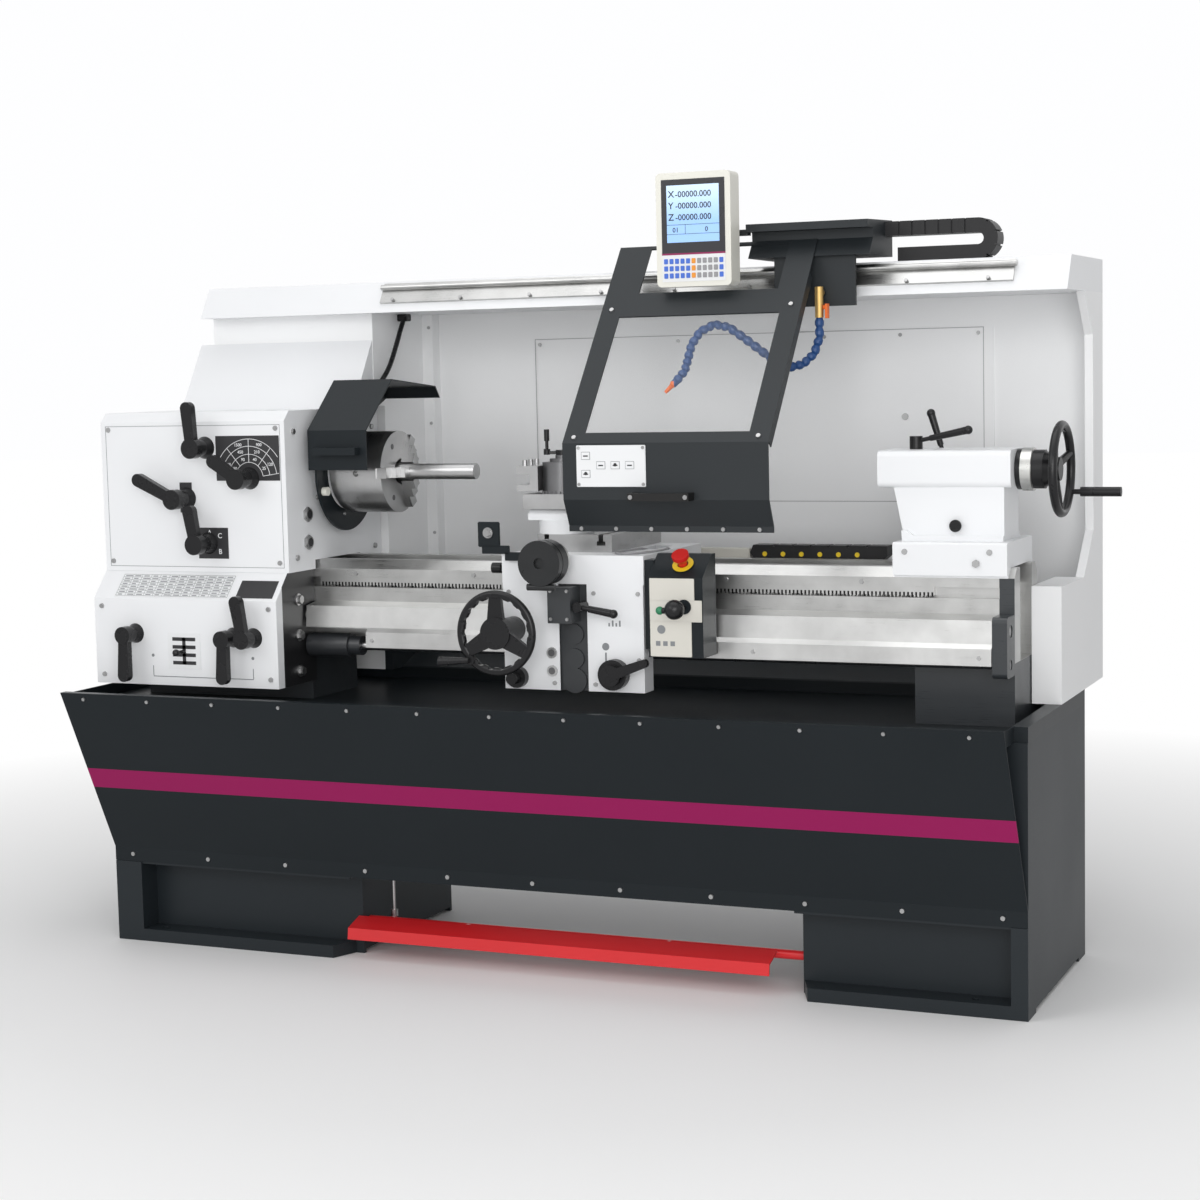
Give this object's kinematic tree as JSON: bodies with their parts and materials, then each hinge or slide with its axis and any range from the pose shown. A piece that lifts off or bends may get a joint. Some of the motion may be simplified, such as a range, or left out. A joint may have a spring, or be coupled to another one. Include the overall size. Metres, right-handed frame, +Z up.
{
  "type": "engine lathe",
  "caption": "Manual geared-head metal lathe on a cabinet base, with sliding splash shield, digital readout, three-jaw chuck, tailstock and foot brake",
  "frame": {"origin": "on the shop floor, in the middle of the four floor-bolt holes", "axes": "+X along the bed from headstock to tailstock, +Y to the back, +Z up"},
  "size_m": [2.5831, 0.927, 1.895],
  "materials": {
    "base_paint": "fine-textured anthracite powder coat",
    "white_paint": "smooth white enamel",
    "red_paint": "gloss red enamel",
    "iron": "machined and ground grey iron",
    "steel": "turned bright steel",
    "black_plastic": "moulded black grips and wheels",
    "cream_plastic": "moulded off-white case",
    "red_plastic": "moulded red push button",
    "blue_plastic": "moulded blue hose segments",
    "orange_plastic": "moulded orange tap lever",
    "window": "clear polycarbonate sheet"
  },
  "bodies": {
    "base": {"pedestals": "base_paint", "front_panel": "base_paint", "chip_tray": "base_paint", "rear_guard": "white_paint", "guard_hood": "white_paint", "hood_rail": "steel", "bed": "iron", "rack": "steel", "screw_covers": "steel", "headstock": "white_paint", "headstock_covers": "white_paint", "gearbox": "white_paint", "spindle_bearings": "iron", "rear_chain": "black_plastic"},
    "spindle_set": {"spindle": "steel", "chuck_body": "steel", "chuck_jaws": "steel", "bar_stock": "steel"},
    "chuck_guard": {"chuck_guard": "base_paint"},
    "carriage": {"saddle": "white_paint", "apron": "white_paint", "control_box": "base_paint"},
    "cross": {"cross_slide": "steel", "swivel_base": "white_paint"},
    "top": {"top_slide": "steel", "tool_post": "iron", "tool_holder": "steel"},
    "shield": {"shield_frame": "base_paint", "shield_window": "window", "shield_carrier": "base_paint", "coolant_hose": "blue_plastic", "cable_chain": "black_plastic"},
    "tailstock": {"tailstock_base": "white_paint", "tailstock_body": "white_paint"},
    "speed_lever_right": {"speed_lever_right": "black_plastic"},
    "speed_lever_top": {"speed_lever_top": "black_plastic"},
    "speed_lever_left": {"speed_lever_left": "black_plastic"},
    "speed_lever_low": {"speed_lever_low": "black_plastic"},
    "feed_lever_left": {"feed_lever_left": "black_plastic"},
    "feed_lever_mid": {"feed_lever_mid": "black_plastic"},
    "feed_lever_right": {"feed_lever_right": "black_plastic"},
    "selector_stick": {"selector_stick": "black_plastic"},
    "leadscrew": {"leadscrew": "steel"},
    "feed_rod": {"feed_rod": "iron"},
    "brake_pedal": {"brake_pedal": "red_paint"},
    "pedal_link": {"pedal_link": "steel"},
    "carriage_wheel": {"carriage_wheel": "black_plastic"},
    "cross_wheel": {"cross_wheel": "black_plastic"},
    "top_slide_crank": {"top_slide_crank": "black_plastic"},
    "tool_post_lever": {"tool_post_lever": "black_plastic"},
    "engage_lever": {"engage_lever": "black_plastic"},
    "half_nut_lever": {"half_nut_lever": "black_plastic"},
    "joystick": {"joystick": "black_plastic"},
    "stop_button": {"stop_button": "red_plastic"},
    "readout_case": {"readout_case": "cream_plastic"},
    "coolant_tap": {"coolant_tap": "orange_plastic"},
    "quill": {"quill": "steel"},
    "tail_wheel": {"tail_wheel": "black_plastic"},
    "quill_lever": {"quill_lever": "black_plastic"},
    "clamp_lever": {"clamp_lever": "black_plastic"}
  },
  "joints": [
    {"name": "spindle_spin", "type": "hinge", "parent": "base", "child": "spindle_set", "pos_m": [-0.65, 0, 1.19], "axis": [1, 0, 0], "continuous": true},
    {"name": "chuck_guard_swing", "type": "hinge", "parent": "base", "child": "chuck_guard", "pos_m": [-0.645, 0, 1.19], "axis": [-1, 0, 0], "range_deg": [0, 75]},
    {"name": "speed_right_turn", "type": "hinge", "parent": "base", "child": "speed_lever_right", "pos_m": [-0.779, -0.305, 1.186], "axis": [0, -1, 0], "range_deg": [-30, 30]},
    {"name": "speed_top_turn", "type": "hinge", "parent": "base", "child": "speed_lever_top", "pos_m": [-0.907, -0.305, 1.263], "axis": [0, -1, 0], "range_deg": [-30, 30]},
    {"name": "speed_left_turn", "type": "hinge", "parent": "base", "child": "speed_lever_left", "pos_m": [-0.967, -0.305, 1.136], "axis": [0, -1, 0], "range_deg": [-30, 30]},
    {"name": "speed_low_turn", "type": "hinge", "parent": "base", "child": "speed_lever_low", "pos_m": [-0.907, -0.305, 1.023], "axis": [0, -1, 0], "range_deg": [-30, 30]},
    {"name": "feed_left_turn", "type": "hinge", "parent": "base", "child": "feed_lever_left", "pos_m": [-1.096, -0.355, 0.797], "axis": [0, -1, 0], "range_deg": [-30, 30]},
    {"name": "feed_mid_turn", "type": "hinge", "parent": "base", "child": "feed_lever_mid", "pos_m": [-0.806, -0.355, 0.793], "axis": [0, -1, 0], "range_deg": [-30, 30]},
    {"name": "feed_right_turn", "type": "hinge", "parent": "base", "child": "feed_lever_right", "pos_m": [-0.748, -0.355, 0.793], "axis": [0, -1, 0], "range_deg": [-30, 30]},
    {"name": "selector_shift", "type": "slide", "parent": "base", "child": "selector_stick", "axis": [0, 0, 1], "range_m": [-0.02, 0.02]},
    {"name": "leadscrew_spin", "type": "hinge", "parent": "base", "child": "leadscrew", "pos_m": [0, -0.15, 0.837], "axis": [1, 0, 0], "continuous": true},
    {"name": "feed_rod_spin", "type": "hinge", "parent": "base", "child": "feed_rod", "pos_m": [0, -0.15, 0.762], "axis": [1, 0, 0], "continuous": true},
    {"name": "pedal_swing", "type": "hinge", "parent": "base", "child": "brake_pedal", "pos_m": [0, -0.205, 0.078], "axis": [1, 0, 0], "range_deg": [0, 12], "stiffness_Nm_per_rad": 12, "springref_deg": -20.05},
    {"name": "link_lift", "type": "slide", "parent": "base", "child": "pedal_link", "axis": [0, 0, 1], "range_m": [0, 0.0085]},
    {"name": "carriage_slide", "type": "slide", "parent": "base", "child": "carriage", "axis": [1, 0, 0], "range_m": [-0.25, 0.3]},
    {"name": "carriage_wheel_turn", "type": "hinge", "parent": "carriage", "child": "carriage_wheel", "pos_m": [-0.058, -0.34, 0.827], "axis": [0, 1, 0], "continuous": true},
    {"name": "cross_wheel_turn", "type": "hinge", "parent": "carriage", "child": "cross_wheel", "pos_m": [0.06, -0.33, 0.993], "axis": [0, 1, 0], "range_deg": [-4330, 4330]},
    {"name": "cross_slide_move", "type": "slide", "parent": "carriage", "child": "cross", "axis": [0, 1, 0], "range_m": [-0.06, 0.06]},
    {"name": "top_slide_move", "type": "slide", "parent": "cross", "child": "top", "axis": [-1, 0, 0], "range_m": [-0.03, 0.03]},
    {"name": "top_crank_turn", "type": "hinge", "parent": "top", "child": "top_slide_crank", "pos_m": [0.16, -0.1, 1.125], "axis": [-1, 0, 0], "range_deg": [-2710, 2710]},
    {"name": "post_lever_turn", "type": "hinge", "parent": "top", "child": "tool_post_lever", "pos_m": [0.01, -0.1, 1.235], "axis": [0, 0, 1], "range_deg": [-60, 60]},
    {"name": "engage_turn", "type": "hinge", "parent": "carriage", "child": "engage_lever", "pos_m": [0.125, -0.28, 0.886], "axis": [0, -1, 0], "range_deg": [-20, 20]},
    {"name": "half_nut_turn", "type": "hinge", "parent": "carriage", "child": "half_nut_lever", "pos_m": [0.202, -0.27, 0.726], "axis": [0, -1, 0], "range_deg": [-40, 0]},
    {"name": "joystick_tilt", "type": "hinge", "parent": "carriage", "child": "joystick", "pos_m": [0.3893, -0.2863, 0.891], "axis": [1, 0, 0], "range_deg": [-12, 12]},
    {"name": "stop_press", "type": "slide", "parent": "carriage", "child": "stop_button", "axis": [0, 0.6097, -0.7926], "range_m": [0, 0.005], "stiffness_N_per_m": 800, "springref_m": -0.004},
    {"name": "shield_slide", "type": "slide", "parent": "base", "child": "shield", "axis": [1, 0, 0], "range_m": [-0.3, 0.18]},
    {"name": "readout_swivel", "type": "hinge", "parent": "shield", "child": "readout_case", "pos_m": [0.33, 0.081, 1.753], "axis": [0, 0, 1], "range_deg": [-30, 8]},
    {"name": "tap_turn", "type": "hinge", "parent": "shield", "child": "coolant_tap", "pos_m": [0.621, 0.062, 1.57], "axis": [1, 0, 0], "range_deg": [0, 90]},
    {"name": "tailstock_slide", "type": "slide", "parent": "base", "child": "tailstock", "axis": [1, 0, 0], "range_m": [-0.15, 0]},
    {"name": "tail_wheel_turn", "type": "hinge", "parent": "tailstock", "child": "tail_wheel", "pos_m": [1.12, 0, 1.19], "axis": [-1, 0, 0], "range_deg": [0, 7200]},
    {"name": "quill_move", "type": "slide", "parent": "tailstock", "child": "quill", "axis": [-1, 0, 0], "range_m": [0, 0.1]},
    {"name": "quill_lever_turn", "type": "hinge", "parent": "tailstock", "child": "quill_lever", "pos_m": [0.86, 0, 1.25], "axis": [0, 0, 1], "range_deg": [-40, 40]},
    {"name": "clamp_turn", "type": "hinge", "parent": "tailstock", "child": "clamp_lever", "pos_m": [0.902, 0.09, 1.213], "axis": [0, 1, 0], "range_deg": [-30, 60]}
  ],
  "couplings": [
    {"joint": "link_lift", "follows": "pedal_swing", "m_per_rad": 0.036},
    {"joint": "carriage_wheel_turn", "follows": "carriage_slide", "rad_per_m": 196.35},
    {"joint": "cross_wheel_turn", "follows": "cross_slide_move", "rad_per_m": 1256.6},
    {"joint": "top_crank_turn", "follows": "top_slide_move", "rad_per_m": 1570.8},
    {"joint": "quill_move", "follows": "tail_wheel_turn", "m_per_rad": 0.00079577}
  ]
}
